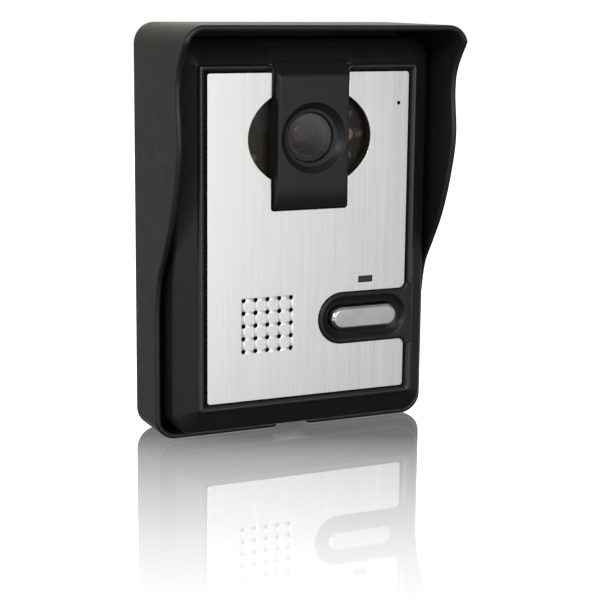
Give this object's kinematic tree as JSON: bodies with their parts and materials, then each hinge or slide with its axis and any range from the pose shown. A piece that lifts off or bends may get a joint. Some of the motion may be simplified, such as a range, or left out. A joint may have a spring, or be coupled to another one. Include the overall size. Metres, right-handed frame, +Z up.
{
  "type": "door intercom panel",
  "caption": "Outdoor video door station: a brushed face plate with camera, infra-red window, speaker grille and sprung call button, held in a deep-visored rain hood.",
  "frame": {"origin": "middle of the rain hood's back face, on the wall plane", "axes": "+Z up; +Y into the wall, so the face plate looks along -Y; +X to the right as the visitor sees it"},
  "size_m": [0.105, 0.049, 0.144],
  "materials": {
    "hood_plastic": "fine-textured weather-resistant moulding, dark warm grey",
    "case_plastic": "fine-textured black moulding",
    "brushed_plate": "vertically brushed",
    "button_chrome": "satin face with polished bevel",
    "clear_window": "clear, polished",
    "tinted_window": "smoked red-brown, passes infra-red",
    "lens_glass": "coated optical glass",
    "barrel_metal": "black anodised",
    "circuit_board": "green solder mask",
    "chip_black": "moulded chip body",
    "sensor_die": "sensor cover glass",
    "clear_lamp": "clear lamp resin",
    "photocell": "clear-coated photocell face",
    "capacitor_sleeve": "shrink sleeve",
    "terminal_plastic": "moulded terminal body",
    "steel": "zinc plated",
    "switch_plastic": "moulded switch body",
    "stem_plastic": "moulded switch stem",
    "black_rubber": "soft, matt",
    "gasket_foam": "closed-cell foam",
    "speaker_steel": "plated speaker frame",
    "cone_paper": "pressed paper cone",
    "tape_backing": "double-sided adhesive tape",
    "ribbon_cable": "flat ribbon cable"
  },
  "bodies": {
    "station": {"rain_hood": "hood_plastic", "rear_case": "case_plastic", "front_bezel": "case_plastic", "lens_holder": "case_plastic", "case_seal": "black_rubber", "mic_boot": "black_rubber", "face_plate": "brushed_plate", "plate_tape": "tape_backing", "camera_board": "circuit_board", "ir_board": "circuit_board", "main_board": "circuit_board", "image_sensor": "sensor_die", "lens_barrel": "barrel_metal", "lens_front_element": "lens_glass", "lens_window": "clear_window", "ir_window": "tinted_window", "led_light_pipe": "tinted_window", "ir_led_1": "clear_lamp", "ir_led_2": "clear_lamp", "ir_led_3": "clear_lamp", "ir_led_4": "clear_lamp", "ir_led_5": "clear_lamp", "ir_led_6": "clear_lamp", "status_led": "clear_lamp", "light_sensor": "photocell", "processor_chip": "chip_black", "amplifier_chip": "chip_black", "capacitor_1": "capacitor_sleeve", "capacitor_2": "capacitor_sleeve", "camera_ribbon": "ribbon_cable", "terminal_block": "terminal_plastic", "terminal_screw_1": "steel", "terminal_screw_2": "steel", "terminal_screw_3": "steel", "terminal_screw_4": "steel", "case_screw_1": "steel", "case_screw_2": "steel", "case_screw_3": "steel", "case_screw_4": "steel", "board_screw_1": "steel", "board_screw_2": "steel", "board_screw_3": "steel", "board_screw_4": "steel", "camera_screw_1": "steel", "camera_screw_2": "steel", "ir_screw_1": "steel", "ir_screw_2": "steel", "bottom_fixing_screw": "steel", "button_spring_left": "steel", "button_spring_right": "steel", "tact_switch": "switch_plastic", "speaker_basket": "speaker_steel", "speaker_magnet": "speaker_steel", "mic_capsule": "speaker_steel", "speaker_cone": "cone_paper", "speaker_gasket": "gasket_foam"},
    "button": {"call_button": "button_chrome"},
    "stem": {"switch_stem": "stem_plastic"}
  },
  "joints": [
    {"name": "call_button_press", "type": "slide", "parent": "station", "child": "button", "axis": [0, 1, 0], "range_m": [0, 0.0015], "stiffness_N_per_m": 1200, "deforming": ["button_spring_left", "button_spring_right"]},
    {"name": "switch_stem_press", "type": "slide", "parent": "station", "child": "stem", "axis": [0, 1, 0], "range_m": [0, 0.00035]}
  ],
  "couplings": [
    {"joint": "switch_stem_press", "follows": "call_button_press", "ratio": 0.2}
  ]
}
